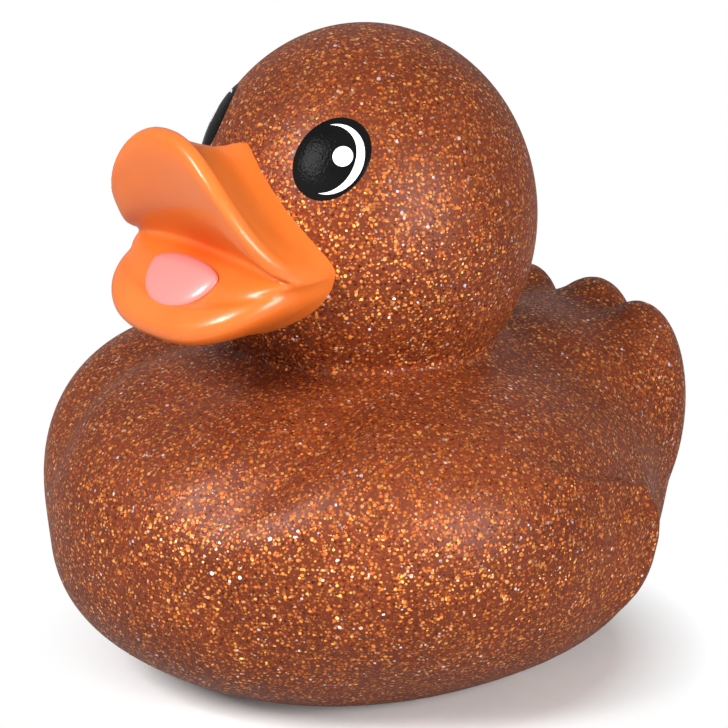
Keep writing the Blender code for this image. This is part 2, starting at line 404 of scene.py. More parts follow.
# How much of the filling each region gets, and between which places one region turns into the next.
NECK_SHARE = 0.04
SIDE_SHARE = 0.25
FEATHER_TOP_SHARE = 0.07
SIDES_BELOW = (0.044, 0.036)
TAIL_BEHIND = (0.004, 0.012)
TAIL_ABOVE = (0.012, 0.020)
FEATHER_TOPS_ABOVE = (0.0395, 0.0420)


def fill_hollows(mesh, shares, rounds):
    """Moves the skin outward only, and only where its neighbours stand further out."""
    count = len(mesh.vertices)
    places = skin_places(mesh)
    pairs = np.empty(len(mesh.edges) * 2, dtype=np.int64)
    mesh.edges.foreach_get("vertices", pairs)
    first, second = pairs.reshape(-1, 2).T
    neighbours = np.bincount(pairs, minlength=count)
    for turn in range(rounds):
        if turn % ROUNDS_TO_A_DIRECTION == 0:
            move_skin(mesh, places)
            out = skin_normals(mesh)
        middle = [
            (np.bincount(first, places[second, k], count) + np.bincount(second, places[first, k], count))
            / neighbours
            for k in range(3)
        ]
        pull = np.stack(middle, axis=1) - places
        rise = FILL_FACTOR * shares * np.maximum(0.0, np.sum(pull * out, axis=1))
        places += rise[:, None] * out
    move_skin(mesh, places)


before = skin_places(skin.data)
x, y, z = before.T
tail_zone = step(y, *TAIL_BEHIND) * step(z, *TAIL_ABOVE)
shares = NECK_SHARE + (SIDE_SHARE - NECK_SHARE) * step(z, *SIDES_BELOW)
shares += (1.0 - shares) * tail_zone
shares += (FEATHER_TOP_SHARE - shares) * tail_zone * step(z, *FEATHER_TOPS_ABOVE)
fill_hollows(skin.data, shares, FILL_ROUNDS)
filled = np.max(np.abs(skin_places(skin.data) - before))
print("hollows filled up to", round(1000 * float(filled), 2), "mm")

# %% [markdown]
# A fold runs along the top of each wing and turns down behind it. It is a groove filed into the mould just
# outside the wing's edge, sharp on the wing's side and run out softly on the other. A low rim stands beside
# it on the wing. In front the fold fades away.

# %% Press in the wing folds
FOLD_DEPTH = 0.0012
FOLD_RIM = 0.0007
FOLD_RIM_WIDTH = 0.0007
FOLD_SHARP = 0.0009
FOLD_SOFT = 0.0065
FOLD_RIM_INSIDE = 0.0004
FOLD_ONLY_BEYOND = (0.018, 0.024)
# Shares of the route between which the fold grows to its depth, and runs out again.
FOLD_GROWS = (0.04, 0.42)
FOLD_RUNS_OUT = (1.0, 0.75)
# Length and height of each point of the route.
FOLD_ROUTE = (
    (-0.0190, 0.0425), (-0.0086, 0.0373), (-0.0027, 0.0343), (0.0022, 0.0318), (0.0084, 0.0297),
    (0.0123, 0.0285), (0.0152, 0.0272), (0.0166, 0.0245), (0.0160, 0.0201), (0.0130, 0.0140),
    (0.0080, 0.0085),
)
FAR = 1.0


def fold_distance(y, z):
    """Distance from the route in the side view, positive outside the wing, and the share of it passed."""
    nearest = np.full(y.shape, FAR)
    signed = np.full(y.shape, FAR)
    along_route = np.zeros(y.shape)
    for number, (start, end) in enumerate(zip(FOLD_ROUTE, FOLD_ROUTE[1:])):
        run = np.subtract(end, start)
        along = np.clip(((y - start[0]) * run[0] + (z - start[1]) * run[1]) / (run @ run), 0.0, 1.0)
        away_y, away_z = y - start[0] - along * run[0], z - start[1] - along * run[1]
        distance = np.hypot(away_y, away_z)
        closer = distance < nearest
        side = np.sign(away_z * run[0] - away_y * run[1])
        nearest = np.where(closer, distance, nearest)
        signed = np.where(closer, distance * side, signed)
        along_route = np.where(closer, (number + along) / (len(FOLD_ROUTE) - 1), along_route)
    return signed, along_route


x, y, z = skin_places(skin.data).T
away, along_route = fold_distance(y, z)
depth = FOLD_DEPTH * step(away, 0.0, FOLD_SHARP) * step(away, FOLD_SHARP + FOLD_SOFT, FOLD_SHARP)
depth -= FOLD_RIM * np.exp(-((away + FOLD_RIM_INSIDE) / FOLD_RIM_WIDTH) ** 2)
shown = step(along_route, *FOLD_GROWS) * step(along_route, *FOLD_RUNS_OUT)
depth *= shown * step(np.abs(x), *FOLD_ONLY_BEYOND)
press_in("fold", skin.data, depth)

# %% [markdown]
# In front, a soft valley parts each wing from the breast. It begins beside the neck and fades away half-way
# down. On the far side it makes the breast's edge stand in front of the far wing.

# %% Press in the valleys beside the breast
VALLEY_DEPTH = 0.0016
VALLEY_WIDTH = 0.0031
VALLEY_ONLY_ABOVE = (0.0220, 0.0350)
VALLEY_ROUTE = (
    (0.0170, -0.0180, 0.0405), (0.0194, -0.0242, 0.0386), (0.0196, -0.0272, 0.0372),
    (0.0194, -0.0312, 0.0346), (0.0182, -0.0348, 0.0318), (0.0170, -0.0370, 0.0295),
    (0.0165, -0.0383, 0.0260),
)

places = skin_places(skin.data)
# Both sides are measured against the same route, as if they lay on the left.
on_left = np.abs(places) * (1, 0, 0) + places * (0, 1, 1)
nearest = np.full(len(places), FAR)
for start, end in zip(VALLEY_ROUTE, VALLEY_ROUTE[1:]):
    run = np.subtract(end, start)
    along = np.clip((on_left - start) @ run / (run @ run), 0.0, 1.0)
    nearest = np.minimum(nearest, np.linalg.norm(on_left - start - along[:, None] * run, axis=1))
depth = VALLEY_DEPTH * np.exp(-(nearest / VALLEY_WIDTH) ** 2 / 2) * step(places[:, 2], *VALLEY_ONLY_ABOVE)
press_in("valleys", skin.data, depth)

# %% [markdown]
# Behind the corners of the mouth the real bill has no seam between its halves: the cheek is one smooth
# surface. Extra smoothing there, and only there, takes away what is left of the fold.

# %% Smooth the cheeks
CHEEK_OUT = 0.50 * HEAD_RADIUS
CHEEK_FRONT = HEAD_CENTRE.y - 1.12 * HEAD_RADIUS
CHEEK_REAR = HEAD_CENTRE.y - 0.98 * HEAD_RADIUS
CHEEK_EASE = 0.1 * HEAD_RADIUS
CHEEK_ROUNDS = 60
cheeks = bill.vertex_groups.new(name="cheeks")
for vertex in bill.data.vertices:
    behind = (vertex.co.y - CENTRING.translation.y - CHEEK_FRONT) / (CHEEK_REAR - CHEEK_FRONT)
    outside = (abs(vertex.co.x) - CHEEK_OUT) / CHEEK_EASE
    weight = min(1.0, max(0.0, behind)) * min(1.0, max(0.0, outside))
    if weight > 0:
        cheeks.add([vertex.index], weight, "REPLACE")
smoothing = bill.modifiers.new("cheeks", "SMOOTH")
smoothing.vertex_group = "cheeks"
smoothing.factor = 0.5
smoothing.iterations = CHEEK_ROUNDS
print("cheeks smoothed in", CHEEK_ROUNDS, "rounds")


# %% [markdown]
# ## The air hole
# A bath duck has a small hole in its foot, which lets the air out as it is squeezed. It is cut through the
# foot here, deep enough to look dark.

# %% Cut the hole
HOLE_SEGMENTS = 48
HOLE_DEPTH = 3 * WALL
SHARP_ANGLE = 50


def plug(name, radius, low, high, y):
    """An upright round bar, which is taken away from the skin."""
    rings = []
    for z in (low, high):
        ring = []
        for i in range(HOLE_SEGMENTS):
            angle = math.tau * i / HOLE_SEGMENTS
            ring.append(Vector((radius * math.cos(angle), y + radius * math.sin(angle), z)))
        rings.append(ring)
    return close_skin(name, rings)


hole_mesh = plug("hole", VENT_DIAMETER / 2, -WALL, HOLE_DEPTH, VENT_BEHIND_CENTRE)
hole = bpy.data.objects.new("hole", hole_mesh)
hole.data.transform(CENTRING)
bpy.context.scene.collection.objects.link(hole)
cut = skin.modifiers.new("hole", "BOOLEAN")
cut.operation = "DIFFERENCE"
cut.solver = "EXACT"
cut.object = hole
drilled = bpy.data.meshes.new_from_object(skin.evaluated_get(bpy.context.evaluated_depsgraph_get()))
skin.modifiers.clear()
skin.data = drilled
drilled.set_sharp_from_angle(angle=math.radians(SHARP_ANGLE))
bpy.data.objects.remove(hole)
print("skin after the hole:", len(drilled.polygons), "faces")

# %% [markdown]
# ## Eyes
# Each eye is a low oval pad of the moulding under a thick coat of black. A white crescent follows its rear
# edge and a white dot sits a little behind its middle. The far eye mirrors the near one. The pad is built in
# the eye's own frame, with y pointing out of the head, so that the white marks can be laid on its curve.
# Where it sits is given as a bearing from straight ahead and a height above the level, both in degrees, and
# the oval is then turned in its own plane.

# %% Place the eyes
EYE_HALF_HEIGHT = 0.0053
EYE_HALF_WIDTH = 0.0046
EYE_PROUD = 0.0003
EYE_BEARING = 38.4
EYE_ELEVATION = 30.4
EYE_TURN = 26.0
# How far the head's curve falls away under the eye, how deep the pad is with its root in the head, and how
# much wider it is at the root than at the line where it leaves the head.
EYE_SAGITTA = EYE_HALF_HEIGHT ** 2 / (2 * HEAD_HALF_HEIGHT)
EYE_DEPTH = 2 * (EYE_SAGITTA + EYE_PROUD)
EYE_WIDEN = 1 / math.sqrt(1 - ((EYE_DEPTH - EYE_SAGITTA - EYE_PROUD) / EYE_DEPTH) ** 2)


def eye_place(side):
    """The eye's own frame: x sideways, y out of the head, z up along the oval."""
    bearing, elevation = math.radians(EYE_BEARING), math.radians(EYE_ELEVATION)
    sight = Vector((
        side * math.sin(bearing) * math.cos(elevation),
        -math.cos(bearing) * math.cos(elevation),
        math.sin(elevation),
    ))
    on_head = Vector((sight.x * HEAD_RADIUS, sight.y * HEAD_RADIUS, sight.z * HEAD_HALF_HEIGHT))
    outward = Vector((sight.x / HEAD_RADIUS, sight.y / HEAD_RADIUS, sight.z / HEAD_HALF_HEIGHT)).normalized()
    sideways = Vector((0, 0, 1)).cross(outward).normalized()
    axes = Matrix((sideways, outward, outward.cross(sideways))).transposed()
    axes = axes @ Matrix.Rotation(math.radians(side * EYE_TURN), 3, "Y")
    centre = HEAD_CENTRE + on_head - outward * (EYE_DEPTH - EYE_PROUD)
    return CENTRING @ Matrix.Translation(centre) @ axes.to_4x4()


def pad_surface(x, z):
    """How far out the eye's pad reaches, at a place in its own frame."""
    left = 1 - (x / (EYE_HALF_WIDTH * EYE_WIDEN)) ** 2 - (z / (EYE_HALF_HEIGHT * EYE_WIDEN)) ** 2
    return EYE_DEPTH * math.sqrt(max(0.0, left))


def rear_sign(side):
    """Which way along the eye's x axis the duck's rear lies."""
    return 1 if (eye_place(side).to_3x3() @ Vector((1, 0, 0))).y > 0 else -1


print("eye depth", round(1000 * EYE_DEPTH, 2), "mm, rear along x:", rear_sign(1), rear_sign(-1))

# %% [markdown]
# Each pad is a pillow of its own, sunk into the head up to the line where the real one leaves the head's
# curve. A piece of its own is needed because its paint differs from the vinyl.

# %% Make the black pads
eyes = {}
for side, name in ((1, "left"), (-1, "right")):
    pad = pillow(
        "eye", (0, 0, 0), half_width=EYE_HALF_WIDTH * EYE_WIDEN, front=EYE_DEPTH, rear=EYE_DEPTH,
        rise=EYE_HALF_HEIGHT * EYE_WIDEN, drop=EYE_HALF_HEIGHT * EYE_WIDEN, segments=96,
    )
    eye = bpy.data.objects.new(f"eye_{name}", pad)
    bpy.context.scene.collection.objects.link(eye)
    eye.data.shade_smooth()
    eye.matrix_world = eye_place(side)
    eyes[name] = eye
print("eyes:", [eye.name for eye in eyes.values()])

# %% [markdown]
# The white marks are a coat of paint a few hundredths of a millimetre thick. Each is a small sheet laid on
# the pad's curve, thickest in the middle and thinned out to nothing at its edge, as wet paint levels.

# %% Lay the white marks
PAINT = 0.00006
PAINT_SUNK_EDGE = 0.15
SAME_POINT = 1e-7
# The crescent is an arc of an oval. Its angles are in degrees, from the eye's rear upwards.
CRESCENT_START = -78
CRESCENT_SWEEP = 206
CRESCENT_SIZE = 0.84
CRESCENT_BACK = 0.0001
CRESCENT_WIDTH = 0.00105
CRESCENT_TAPER = 0.9
DOT_CENTRE = (0.00120, 0.00090)
DOT_RADIUS = 0.00125


def paint_patch(name, side, edge_pairs, across=6):
    """A thin skin of paint between pairs of edge points (x, z) in the eye's frame, rear to the right."""
    mesh = bmesh.new()
    rows = []
    for inner, outer in edge_pairs:
        row = []
        for k in range(across + 1):
            t = k / across
            x = rear_sign(side) * (inner[0] + (outer[0] - inner[0]) * t)
            z = inner[1] + (outer[1] - inner[1]) * t
            body = math.sqrt(max(0.0, 1 - (2 * t - 1) ** 2))
            row.append(mesh.verts.new((x, pad_surface(x, z) + PAINT * (body - PAINT_SUNK_EDGE), z)))
        rows.append(row)
    for lower, upper in zip(rows, rows[1:]):
        for k in range(across):
            mesh.faces.new((lower[k], lower[k + 1], upper[k + 1], upper[k]))
    bmesh.ops.remove_doubles(mesh, verts=mesh.verts, dist=SAME_POINT)
    bmesh.ops.recalc_face_normals(mesh, faces=mesh.faces)
    data = bpy.data.meshes.new(name)
    mesh.to_mesh(data)
    mesh.free()
    data.shade_smooth()
    obj = bpy.data.objects.new(name, data)
    bpy.context.scene.collection.objects.link(obj)
    obj.matrix_world = eye_place(side)
    return obj


def crescent(steps=48):
    """Edge points of the crescent: widest half-way along its arc, and thinned out towards both tips."""
    pairs = []
    for i in range(steps + 1):
        angle = math.radians(CRESCENT_START + CRESCENT_SWEEP * i / steps)
        outer = (
            EYE_HALF_WIDTH * CRESCENT_SIZE * math.cos(angle) + CRESCENT_BACK,
            EYE_HALF_HEIGHT * CRESCENT_SIZE * math.sin(angle),
        )
        # The half step keeps a little width at the tips, so that no sliver of paint comes loose there.
        width = CRESCENT_WIDTH * math.sin(math.pi * (i + 0.5) / (steps + 1)) ** CRESCENT_TAPER
        pull = math.hypot(*outer)
        pairs.append(((outer[0] * (1 - width / pull), outer[1] * (1 - width / pull)), outer))
    return pairs


def dot(centre, radius, steps=40):
    """Edge points of a round dot, taken as level chords."""
    pairs = []
    for i in range(steps + 1):
        angle = math.pi * (i / steps - 0.5)
        half, rise = radius * math.cos(angle), radius * math.sin(angle)
        pairs.append(((centre[0] - half, centre[1] + rise), (centre[0] + half, centre[1] + rise)))
    return pairs


marks = []
for side, name in ((1, "left"), (-1, "right")):
    marks.append(paint_patch(f"eye_crescent_{name}", side, crescent()))
    marks.append(paint_patch(f"eye_dot_{name}", side, dot(DOT_CENTRE, DOT_RADIUS), across=24))
print("marks:", [mark.name for mark in marks])

# %% [markdown]
# ## Tongue
# The tongue is a low swelling of the floor of the mouth, sprayed pink. It is round in front and nearly
# straight at the throat. Here it is a flat pillow that lies half sunk in the floor, with its front tipped
# down to follow the slope.

# %% Make the tongue
TONGUE_HALF_WIDTH = 0.0062
TONGUE_FRONT_REACH = 0.0052
TONGUE_REAR_REACH = 0.0020
TONGUE_THICKNESS = 0.0013
TONGUE_CENTRE = HEAD_CENTRE + HEAD_RADIUS * Vector((0, -1.295, -0.098))
TONGUE_SLOPE = 43.0
tongue_mesh = pillow(
    "tongue", TONGUE_CENTRE, half_width=TONGUE_HALF_WIDTH, front=TONGUE_FRONT_REACH, rear=TONGUE_REAR_REACH,
    rise=TONGUE_THICKNESS, drop=TONGUE_THICKNESS, segments=96, turn=turned(pitch=-TONGUE_SLOPE),
)
tongue_mesh.transform(CENTRING)
tongue_mesh.shade_smooth()
tongue = bpy.data.objects.new("tongue", tongue_mesh)
bpy.context.scene.collection.objects.link(tongue)
print("tongue is", round(2000 * TONGUE_HALF_WIDTH, 1), "mm wide")


# %% [markdown]
# ## Finishes
# A finish here is a Principled surface whose colour, roughness and relief come from noise and cells in the
# object's own coordinates, so it needs no picture and holds at any distance. Values that stay the same all
# over are set on the surface itself.

# %% Helpers for node finishes
def new_finish(name):
    """An empty finish with its node tree and its surface."""
    finish = bpy.data.materials.new(name)
    finish.use_nodes = True
    return finish, finish.node_tree, finish.node_tree.nodes["Principled BSDF"]


def add(tree, kind, settings=None, **values):
    """A node with its settings and its input values. Underscores in input names stand for spaces."""
    node = tree.nodes.new(kind)
    for key, value in (settings or {}).items():
        setattr(node, key, value)
    for key, value in values.items():
        node.inputs[key.replace("_", " ")].default_value = value
    return node


def arithmetic(tree, operation, first, second=None, kind="ShaderNodeMath"):
    """A sum, product or comparison of sockets or numbers."""
    node = add(tree, kind, {"operation": operation})
    for socket, value in zip(node.inputs, (first, second)):
        if isinstance(value, bpy.types.NodeSocket):
            tree.links.new(value, socket)
        elif value is not None:
            socket.default_value = value
    return next(socket for socket in node.outputs if socket.enabled)


def blend_colours(tree, factor, first, second):
    """The first colour turns into the second as the factor grows."""
    node = add(tree, "ShaderNodeMix", {"data_type": "RGBA"})
    sockets = (node.inputs["Factor"], node.inputs[6], node.inputs[7])
    for socket, value in zip(sockets, (factor, first, second)):
        if isinstance(value, bpy.types.NodeSocket):
            tree.links.new(value, socket)
        else:
            socket.default_value = value
    return node.outputs[2]


def ramp(tree, factor, stops):
    """Colours from a number: stops are (position, (red, green, blue, 1))."""
    node = add(tree, "ShaderNodeValToRGB")
    elements = node.color_ramp.elements
    while len(elements) < len(stops):
        elements.new(0.5)
    for element, (position, colour) in zip(elements, stops):
        element.position = position
        element.color = colour
    tree.links.new(factor, node.inputs["Fac"])
    return node.outputs["Color"]


# %% [markdown]
# ### Glitter vinyl
# The flakes are tiny chips of copper-coloured film. They lie in the vinyl at every angle and depth. Cells of
# a Voronoi pattern place them: each cell draws at random whether it holds a flake, how big and how bright it
# is, and which way it leans. A flake is metal that leans by itself, under the smooth gloss of the vinyl.

# %% Make one layer of flakes
# How fine the fraying is and how far it reaches, both in cells, what every draw of a size begins with, and
# the share of a flake that is solid before its edge softens.
FRAY_FINENESS = 0.7
FRAY_REACH = 0.5
SIZE_BASE = 0.8
FLAKE_SOLID_TO = 0.65


def flake_layer(tree, coordinates, cell, shift, share, widest):
    """One size of flake: where the flakes are, a random number for each, and its random lean."""
    cells = add(tree, "ShaderNodeTexVoronoi", Scale=1 / cell)
    ragged = add(tree, "ShaderNodeTexNoise", Scale=FRAY_FINENESS / cell, Detail=1.0)
    tree.links.new(coordinates, ragged.inputs["Vector"])
    frayed = add(tree, "ShaderNodeVectorMath", {"operation": "MULTIPLY_ADD"})
    tree.links.new(ragged.outputs["Color"], frayed.inputs[0])
    frayed.inputs[1].default_value = (FRAY_REACH * cell,) * 3
    tree.links.new(coordinates, frayed.inputs[2])
    moved = arithmetic(tree, "ADD", frayed.outputs["Vector"], (shift,) * 3, "ShaderNodeVectorMath")
    tree.links.new(moved, cells.inputs["Vector"])
    chance = add(tree, "ShaderNodeSeparateColor")
    tree.links.new(cells.outputs["Color"], chance.inputs["Color"])
    held = arithmetic(tree, "LESS_THAN", chance.outputs["Red"], share)
    drawn = arithmetic(tree, "ADD", chance.outputs["Green"], SIZE_BASE)
    size = arithmetic(tree, "MULTIPLY", drawn, widest / (1 + SIZE_BASE))
    inside = add(tree, "ShaderNodeMapRange", From_Min=1.0, From_Max=FLAKE_SOLID_TO)
    tree.links.new(arithmetic(tree, "DIVIDE", cells.outputs["Distance"], size), inside.inputs["Value"])
    where = arithmetic(tree, "MULTIPLY", held, inside.outputs["Result"])
    lean = arithmetic(tree, "SUBTRACT", cells.outputs["Color"], (0.5, 0.5, 0.5), "ShaderNodeVectorMath")
    return where, chance.outputs["Blue"], lean


# %% [markdown]
# Four layers of flakes lie over each other. The first is the finest and deepest, seen darkly through the
# brown. The last is the coarsest and lies nearest to the surface, so it is clear and bright. The palest,
# near-white tint is a painted glint: it stands for the few flakes that throw the lamp straight back.

# %% Build the glitter vinyl
# For each layer: width of a cell, how far the pattern is moved, share of cells that hold a flake, widest
# flake as a share of the cell, and how clearly it shows.
FLAKE_LAYERS = (
    (0.00038, 0.000, 1.00, 0.60, 0.40),
    (0.00046, 0.013, 0.85, 0.56, 0.58),
    (0.00054, 0.029, 0.70, 0.52, 0.80),
    (0.00062, 0.047, 0.58, 0.48, 1.05),
)
FLAKE_TINTS_AND_GLINT = (
    (0.00, (0.260, 0.045, 0.012)),
    (0.45, (0.600, 0.125, 0.024)),
    (0.80, (1.000, 0.290, 0.055)),
    (0.97, (1.000, 0.460, 0.120)),
    # Painted glint: this near-white tint stands for a flake that mirrors the lamp. It is not a colour of the
    # film.
    (1.00, (0.950, 0.850, 0.950)),
)
FLAKE_LEAN = 0.8
FLAKE_METAL = 0.60


def glitter_vinyl():
    """Brown vinyl with its layers of flakes."""
    finish, tree, surface = new_finish("glitter_vinyl")
    coordinates = add(tree, "ShaderNodeTexCoord").outputs["Object"]
    normal = add(tree, "ShaderNodeNewGeometry").outputs["Normal"]
    cloud = add(tree, "ShaderNodeTexNoise", Scale=55.0, Detail=3.0, Roughness=0.5)
    tree.links.new(coordinates, cloud.inputs["Vector"])
    colour = ramp(tree, cloud.outputs["Fac"], (
        (0.30, (0.105, 0.020, 0.008, 1)),
        (0.70, (0.165, 0.032, 0.012, 1)),
    ))
    metal = 0.0
    lean_total = None
    for cell, shift, share, widest, clear in FLAKE_LAYERS:
        where, chance, lean = flake_layer(tree, coordinates, cell, shift, share, widest)
        stops = [(position, (*(part * clear for part in tint), 1)) for position, tint in FLAKE_TINTS_AND_GLINT]
        tint = ramp(tree, chance, stops)
        colour = blend_colours(tree, where, colour, tint)
        metal = arithmetic(tree, "MAXIMUM", metal, where)
        leaning = arithmetic(tree, "SCALE", lean, None, "ShaderNodeVectorMath")
        tree.links.new(where, leaning.node.inputs["Scale"])
        if lean_total is None:
            lean_total = leaning
        else:
            lean_total = arithmetic(tree, "ADD", lean_total, leaning, "ShaderNodeVectorMath")
    wide = add(tree, "ShaderNodeVectorMath", {"operation": "SCALE"}, Scale=FLAKE_LEAN)
    tree.links.new(lean_total, wide.inputs[0])
    leaned = arithmetic(tree, "ADD", normal, wide.outputs["Vector"], "ShaderNodeVectorMath")
    facing = arithmetic(tree, "NORMALIZE", leaned, None, "ShaderNodeVectorMath")
    tree.links.new(colour, surface.inputs["Base Color"])
    tree.links.new(arithmetic(tree, "MULTIPLY", metal, FLAKE_METAL), surface.inputs["Metallic"])
    tree.links.new(facing, surface.inputs["Normal"])
    surface.inputs["Roughness"].default_value = 0.45
    surface.inputs["Specular IOR Level"].default_value = 0.12
    surface.inputs["Coat Weight"].default_value = 0.15
    surface.inputs["Coat Roughness"].default_value = 0.40
    surface.inputs["Coat IOR"].default_value = 1.5
    return finish


skin.data.materials.clear()
skin.data.materials.append(glitter_vinyl())
print("layers of flakes, cells in mm:", [round(1000 * layer[0], 2) for layer in FLAKE_LAYERS])


# %% [markdown]
# ### Orange, pink, black and white paint
# The paints are thick and glossy, with a faint orange-peel relief. The orange lets a little light through,
# and
# it is painted darker in the throat: that darkening is painted shade, where the upper bill shadows the mouth.
# The black is the thickest, so it is slightly lumpy, with specks of dust in it. White must stay just under
# full white, or it loses its shape.

# %% Build the paints
DUST_FINENESS = 1400.0
DUST_SHARE = 0.06
DUST_SIZE = 0.16


def glossy_paint(name, light, dark, roughness, relief, grain, speck=None, gloss=0.5, coat=0.2, throat_shade=None):
    """A paint whose colour drifts between two tones and whose surface is faintly uneven, with painted shade
    round a point where given.
    """
    finish, tree, surface = new_finish(name)
    coordinates = add(tree, "ShaderNodeTexCoord").outputs["Object"]
    drift = add(tree, "ShaderNodeTexNoise", Scale=90.0, Detail=2.0)
    tree.links.new(coordinates, drift.inputs["Vector"])
    colour = ramp(tree, drift.outputs["Fac"], ((0.35, dark), (0.65, light)))
    peel = add(tree, "ShaderNodeTexNoise", Scale=grain, Detail=2.0)
    tree.links.new(coordinates, peel.inputs["Vector"])
    if speck:
        dust = add(tree, "ShaderNodeTexVoronoi", Scale=DUST_FINENESS)
        tree.links.new(coordinates, dust.inputs["Vector"])
        chance = add(tree, "ShaderNodeSeparateColor")
        tree.links.new(dust.outputs["Color"], chance.inputs["Color"])
        rare = arithmetic(tree, "LESS_THAN", chance.outputs["Red"], DUST_SHARE)
        small = arithmetic(tree, "LESS_THAN", dust.outputs["Distance"], DUST_SIZE)
        colour = blend_colours(tree, arithmetic(tree, "MULTIPLY", rare, small), colour, speck)
    # Painted shade: the colour is darkened round a point, standing in for the shadow in a recess.
    if throat_shade:
        centre, radius, shade_colour = throat_shade
        inward = add(tree, "ShaderNodeVectorMath", {"operation": "DISTANCE"})
        tree.links.new(coordinates, inward.inputs[0])
        inward.inputs[1].default_value = centre
        smooth = {"interpolation_type": "SMOOTHSTEP"}
        # The mask of the painted shade: full at the point, none beyond the radius.
        depth = add(tree, "ShaderNodeMapRange", smooth, From_Min=radius, From_Max=0.0)
        tree.links.new(inward.outputs["Value"], depth.inputs["Value"])
        colour = blend_colours(tree, depth.outputs["Result"], colour, shade_colour)
    bump = add(tree, "ShaderNodeBump", Strength=relief, Distance=0.0002)
    tree.links.new(peel.outputs["Fac"], bump.inputs["Height"])
    tree.links.new(colour, surface.inputs["Base Color"])
    tree.links.new(bump.outputs["Normal"], surface.inputs["Normal"])
    surface.inputs["Roughness"].default_value = roughness
    surface.inputs["Specular IOR Level"].default_value = gloss
    surface.inputs["Coat Weight"].default_value = coat
    surface.inputs["Coat Roughness"].default_value = 0.1
    return finish


# Centre of the painted shade in the throat, where the upper bill shadows the mouth.
throat = CENTRING @ (HEAD_CENTRE + HEAD_RADIUS * Vector((0, -1.12, 0.02)))
orange = glossy_paint(
    "bill_paint", light=(0.70, 0.158, 0.022, 1), dark=(0.665, 0.136, 0.015, 1),
    roughness=0.34, relief=0.10, grain=500.0, throat_shade=(throat, 0.40 * HEAD_RADIUS, (0.64, 0.085, 0.006, 1)),
)
pink = glossy_paint(
    "tongue_paint", light=(0.63, 0.222, 0.200, 1), dark=(0.605, 0.198, 0.180, 1),
    roughness=0.32, relief=0.10, grain=600.0,
)
black = glossy_paint(
    "eye_black", light=(0.008, 0.008, 0.008, 1), dark=(0.005, 0.005, 0.005, 1),
    roughness=0.10, relief=0.22, grain=3200.0, speck=(0.20, 0.18, 0.16, 1), gloss=0.022, coat=0.0,
)
white = glossy_paint(
    "eye_white", light=(0.86, 0.86, 0.90, 1), dark=(0.83, 0.83, 0.87, 1),
    roughness=0.30, relief=0.15, grain=900.0,
)
orange.node_tree.nodes["Principled BSDF"].inputs["Subsurface Weight"].default_value = 0.12
orange.node_tree.nodes["Principled BSDF"].inputs["Subsurface Scale"].default_value = 0.002
for piece, paint in ((bill, orange), (tongue, pink), (eyes["left"], black), (eyes["right"], black)):
    piece.data.materials.clear()
    piece.data.materials.append(paint)
for mark in marks:
    mark.data.materials.append(white)
print("paints:", [paint.name for paint in (orange, pink, black, white)])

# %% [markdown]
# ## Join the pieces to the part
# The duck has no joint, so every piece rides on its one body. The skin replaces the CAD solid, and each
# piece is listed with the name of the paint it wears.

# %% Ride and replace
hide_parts("duck")
pieces = [(skin, "glitter_vinyl"), (bill, "bill_paint"), (tongue, "tongue_paint")]
pieces += [(eye, "eye_black") for eye in eyes.values()]
pieces += [(mark, "eye_white") for mark in marks]
for piece, slot in pieces:
    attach(piece, "root")
print(len(pieces), "pieces on the root")

# %% [markdown]
# ## Floor, light and camera
# The photograph is a product shot on white. The floor is pale to the camera and keeps the soft shadow under
# the duck, and it runs into pure white a little way off. To the light that bounces it is darker, so that it
# doesn't brighten the duck from below.

# %% Lay the floor
FLOOR_HALF = 3.0
FLOOR_FADE_FROM = 0.031
FLOOR_FADE_TO = 0.043


def floor_finish():
    """Pale paper that turns into pure white away from the duck."""
    finish, tree, surface = new_finish("studio_floor")
    coordinates = add(tree, "ShaderNodeTexCoord").outputs["Object"]
    away = add(tree, "ShaderNodeVectorMath", {"operation": "LENGTH"})
    tree.links.new(coordinates, away.inputs[0])
    fade = add(tree, "ShaderNodeMapRange", From_Min=FLOOR_FADE_FROM, From_Max=FLOOR_FADE_TO)
    tree.links.new(away.outputs["Value"], fade.inputs["Value"])
    paper = add(tree, "ShaderNodeTexNoise", Scale=400.0, Detail=2.0)
    tree.links.new(coordinates, paper.inputs["Vector"])
    tone = ramp(tree, paper.outputs["Fac"], ((0.3, (0.90, 0.90, 0.90, 1)), (0.7, (0.92, 0.92, 0.92, 1))))
    surface.inputs["Roughness"].default_value = 0.9
    surface.inputs["Specular IOR Level"].default_value = 0.2
    glow = add(tree, "ShaderNodeEmission", Strength=1.0)
    glow.inputs["Color"].default_value = (1, 1, 1, 1)
    by_camera = add(tree, "ShaderNodeLightPath").outputs["Is Camera Ray"]
    paper_tone = blend_colours(tree, by_camera, (0.40, 0.40, 0.40, 1), tone)
    tree.links.new(paper_tone, surface.inputs["Base Color"])
    plain = add(tree, "ShaderNodeMixShader")
    whiteness = arithmetic(tree, "MULTIPLY", fade.outputs["Result"], by_camera)
    tree.links.new(whiteness, plain.inputs["Fac"])
    tree.links.new(surface.outputs["BSDF"], plain.inputs[1])
    tree.links.new(glow.outputs["Emission"], plain.inputs[2])
    tree.links.new(plain.outputs["Shader"], tree.nodes["Material Output"].inputs["Surface"])
    return finish


floor_mesh = bpy.data.meshes.new("studio_floor")
floor_corners = [
    (-FLOOR_HALF, -FLOOR_HALF, 0), (FLOOR_HALF, -FLOOR_HALF, 0),
    (FLOOR_HALF, FLOOR_HALF, 0), (-FLOOR_HALF, FLOOR_HALF, 0),
]
floor_mesh.from_pydata(floor_corners, [], [(0, 1, 2, 3)])
floor_mesh.materials.append(floor_finish())
floor = bpy.data.objects.new("studio_floor", floor_mesh)
bpy.context.scene.collection.objects.link(floor)
print("floor fades to white from", round(1000 * FLOOR_FADE_FROM), "to", round(1000 * FLOOR_FADE_TO), "mm")

# %% [markdown]
# The surroundings aren't evenly white. The soft light comes mostly from the side of the main lamp. What
# glossy things mirror is dim behind the camera and brighter behind the duck, which gives the sheen along its
# edges. Only the camera itself sees pure white.

